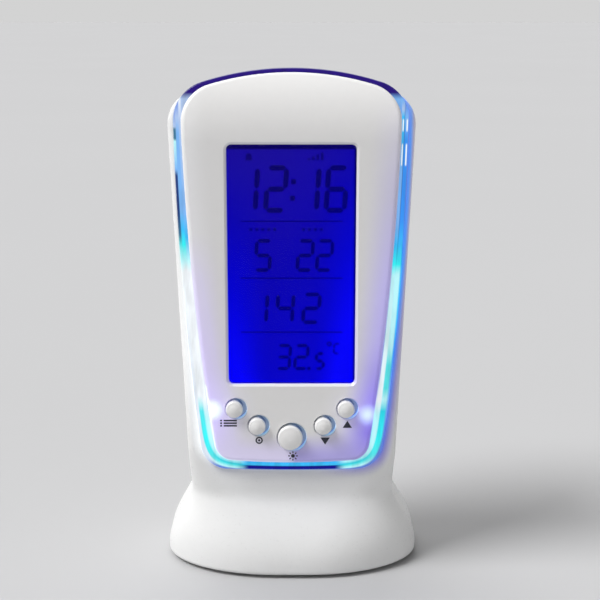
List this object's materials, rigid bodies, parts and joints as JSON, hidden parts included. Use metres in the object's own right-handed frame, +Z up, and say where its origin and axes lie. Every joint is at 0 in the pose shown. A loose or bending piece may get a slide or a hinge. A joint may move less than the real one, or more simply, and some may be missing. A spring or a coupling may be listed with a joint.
{
  "type": "digital desk clock",
  "caption": "Free-standing digital desk clock: tall blue display over a curved row of push buttons, clear glowing ring around the panel, battery door behind, flared foot.",
  "frame": {"origin": "on the table, under the middle of the foot", "axes": "+X to the reader's right, +Y away from the reader, +Z up"},
  "size_m": [0.067, 0.046, 0.13],
  "materials": {
    "white_shell": "moulded, satin gloss",
    "white_panel": "moulded, satin gloss",
    "white_key": "moulded, satin gloss",
    "white_base": "moulded, matt",
    "white_door": "moulded, satin gloss",
    "ring_acrylic": "clear acrylic lit blue from its lower sides",
    "lens_acrylic": "clear acrylic pane",
    "lcd_glass": "blue backlit liquid crystal panel",
    "dark_plastic": "moulded, matt",
    "diffuser": "milky acrylic",
    "lamp_epoxy": "cast clear epoxy",
    "black_rubber": "layered elastomer",
    "board_green": "solder resist",
    "black_epoxy": "cast epoxy",
    "bare_steel": "zinc plated",
    "plated_steel": "nickel plated",
    "grey_rubber": "soft rubber",
    "brass_disc": "bare brass",
    "white_ceramic": "silvered ceramic",
    "cell_jacket": "plain printed jacket",
    "wire_red": "insulated wire",
    "wire_black": "insulated wire"
  },
  "bodies": {
    "clock": {"body_shell": "white_shell", "front_panel": "white_panel", "light_ring": "ring_acrylic", "display_lens": "lens_acrylic", "lcd_panel": "lcd_glass", "lcd_frame": "dark_plastic", "backlight_plate": "diffuser", "backlight_lamps": "lamp_epoxy", "contact_strip": "black_rubber", "main_board": "board_green", "switch_housings": "dark_plastic", "ring_lamps": "lamp_epoxy", "chip": "black_epoxy", "quartz_crystal": "bare_steel", "thermistor": "black_epoxy", "base_plate": "white_base", "rubber_feet": "grey_rubber", "sounder_disc": "brass_disc", "sounder_ceramic": "white_ceramic", "battery_left": "cell_jacket", "battery_middle": "cell_jacket", "battery_right": "cell_jacket", "battery_contacts": "plated_steel", "battery_springs": "plated_steel", "panel_screws": "bare_steel", "board_screws": "bare_steel", "base_screws": "bare_steel", "battery_wires": "wire_red", "sounder_wires": "wire_black"},
    "mode_key": {"mode_button": "white_key", "mode_plunger": "dark_plastic"},
    "set_key": {"set_button": "white_key", "set_plunger": "dark_plastic"},
    "light_key": {"light_button": "white_key", "light_plunger": "dark_plastic"},
    "down_key": {"down_button": "white_key", "down_plunger": "dark_plastic"},
    "up_key": {"up_button": "white_key", "up_plunger": "dark_plastic"},
    "door": {"battery_door": "white_door"}
  },
  "joints": [
    {"name": "mode_press", "type": "slide", "parent": "clock", "child": "mode_key", "axis": [0, 0.9994, -0.0349], "range_m": [0, 0.0008], "stiffness_N_per_m": 1500},
    {"name": "set_press", "type": "slide", "parent": "clock", "child": "set_key", "axis": [0, 0.9994, -0.0349], "range_m": [0, 0.0008], "stiffness_N_per_m": 1500},
    {"name": "light_press", "type": "slide", "parent": "clock", "child": "light_key", "axis": [0, 0.9994, -0.0349], "range_m": [0, 0.0008], "stiffness_N_per_m": 1500},
    {"name": "down_press", "type": "slide", "parent": "clock", "child": "down_key", "axis": [0, 0.9994, -0.0349], "range_m": [0, 0.0008], "stiffness_N_per_m": 1500},
    {"name": "up_press", "type": "slide", "parent": "clock", "child": "up_key", "axis": [0, 0.9994, -0.0349], "range_m": [0, 0.0008], "stiffness_N_per_m": 1500},
    {"name": "door_hinge", "type": "hinge", "parent": "clock", "child": "door", "pos_m": [0, 0.0136, 0.05], "axis": [-1, 0, 0], "range_deg": [0, 90]}
  ]
}
